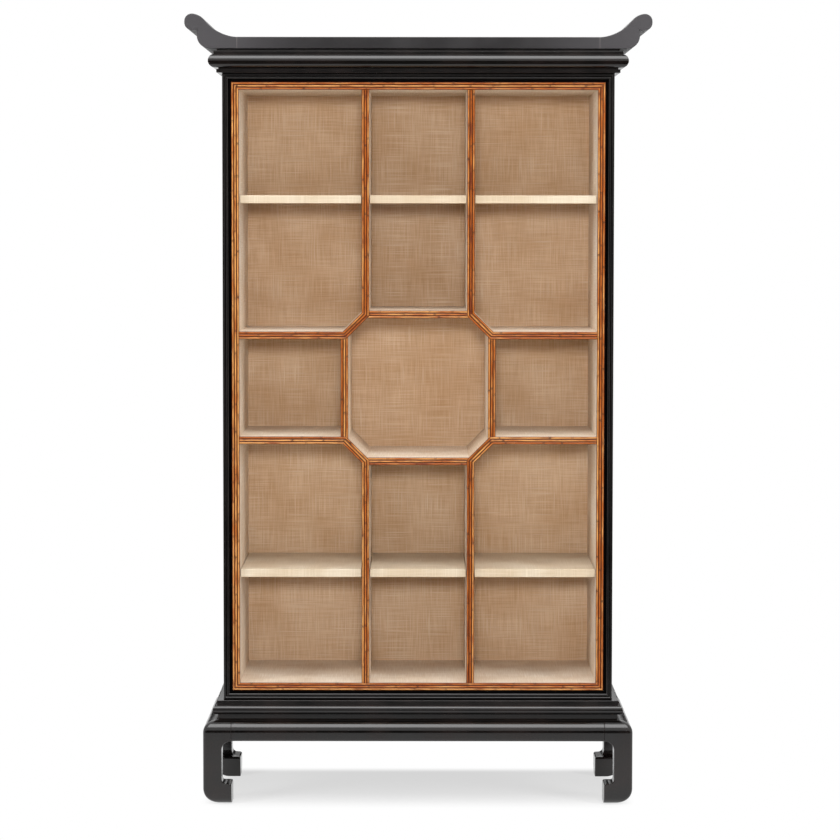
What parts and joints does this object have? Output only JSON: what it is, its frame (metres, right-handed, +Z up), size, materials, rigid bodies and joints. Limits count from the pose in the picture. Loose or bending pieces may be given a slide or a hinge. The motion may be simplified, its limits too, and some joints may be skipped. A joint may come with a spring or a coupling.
{
  "type": "display cabinet etagere",
  "caption": "Tall open display cabinet in black lacquer with a pagoda crown, cane-edged woven compartments round an octagon, loose shelves and a low hoof-footed stand.",
  "frame": {"origin": "on the floor, under the middle of the cabinet's bounding box", "axes": "+X to the cabinet's right as seen from the front, -Y towards the viewer, +Z up"},
  "size_m": [1.255, 0.441, 2.1355],
  "materials": {
    "black_lacquer": "satin black lacquer",
    "rattan_cane": "varnished split cane",
    "woven_lining": "woven raffia cloth on board",
    "pale_shelf_weave": "pale woven raffia cloth on board",
    "plain_beech": "unfinished beech",
    "plated_steel": "zinc plated"
  },
  "bodies": {
    "cabinet": {"back_panel": "woven_lining", "case_bottom": "black_lacquer", "case_side_left": "black_lacquer", "case_side_right": "black_lacquer", "case_top": "black_lacquer", "cornice_front": "black_lacquer", "cornice_left": "black_lacquer", "cornice_rear": "black_lacquer", "cornice_right": "black_lacquer", "crossbar_lower_left": "woven_lining", "crossbar_lower_right": "woven_lining", "crossbar_upper_left": "woven_lining", "crossbar_upper_right": "woven_lining", "crown_plank": "black_lacquer", "crown_scroll_left": "black_lacquer", "crown_scroll_right": "black_lacquer", "divider_canes": "rattan_cane", "face_rail_bottom": "black_lacquer", "face_rail_top": "black_lacquer", "face_stile_left": "black_lacquer", "face_stile_right": "black_lacquer", "frame_canes": "rattan_cane", "lining_ceiling": "woven_lining", "lining_floor": "woven_lining", "lining_left": "woven_lining", "lining_right": "woven_lining", "octagon_bottom": "woven_lining", "octagon_corner_lower_left": "woven_lining", "octagon_corner_lower_right": "woven_lining", "octagon_corner_upper_left": "woven_lining", "octagon_corner_upper_right": "woven_lining", "octagon_dowels": "plain_beech", "octagon_left": "woven_lining", "octagon_right": "woven_lining", "octagon_top": "woven_lining", "shelf_pegs": "plated_steel", "stand_corner_blocks": "plain_beech", "stand_leg_front_left": "black_lacquer", "stand_leg_front_right": "black_lacquer", "stand_leg_rear_left": "black_lacquer", "stand_leg_rear_right": "black_lacquer", "stand_rail_front": "black_lacquer", "stand_rail_left": "black_lacquer", "stand_rail_rear": "black_lacquer", "stand_rail_right": "black_lacquer", "upright_lower_left": "woven_lining", "upright_lower_right": "woven_lining", "upright_upper_left": "woven_lining", "upright_upper_right": "woven_lining", "waist_moulding_front": "black_lacquer", "waist_moulding_left": "black_lacquer", "waist_moulding_right": "black_lacquer", "waist_rail_rear": "black_lacquer", "wood_screws": "plated_steel"},
    "shelf_lower_centre_board": {"shelf_lower_centre": "pale_shelf_weave"},
    "shelf_lower_left_board": {"shelf_lower_left": "pale_shelf_weave"},
    "shelf_lower_right_board": {"shelf_lower_right": "pale_shelf_weave"},
    "shelf_upper_centre_board": {"shelf_upper_centre": "pale_shelf_weave"},
    "shelf_upper_left_board": {"shelf_upper_left": "pale_shelf_weave"},
    "shelf_upper_right_board": {"shelf_upper_right": "pale_shelf_weave"}
  },
  "joints": [
    {"name": "shelf_lower_centre_slide", "type": "slide", "parent": "cabinet", "child": "shelf_lower_centre_board", "axis": [0, -1, 0], "range_m": [0, 0.45]},
    {"name": "shelf_lower_left_slide", "type": "slide", "parent": "cabinet", "child": "shelf_lower_left_board", "axis": [0, -1, 0], "range_m": [0, 0.45]},
    {"name": "shelf_lower_right_slide", "type": "slide", "parent": "cabinet", "child": "shelf_lower_right_board", "axis": [0, -1, 0], "range_m": [0, 0.45]},
    {"name": "shelf_upper_centre_slide", "type": "slide", "parent": "cabinet", "child": "shelf_upper_centre_board", "axis": [0, -1, 0], "range_m": [0, 0.45]},
    {"name": "shelf_upper_left_slide", "type": "slide", "parent": "cabinet", "child": "shelf_upper_left_board", "axis": [0, -1, 0], "range_m": [0, 0.45]},
    {"name": "shelf_upper_right_slide", "type": "slide", "parent": "cabinet", "child": "shelf_upper_right_board", "axis": [0, -1, 0], "range_m": [0, 0.45]}
  ]
}
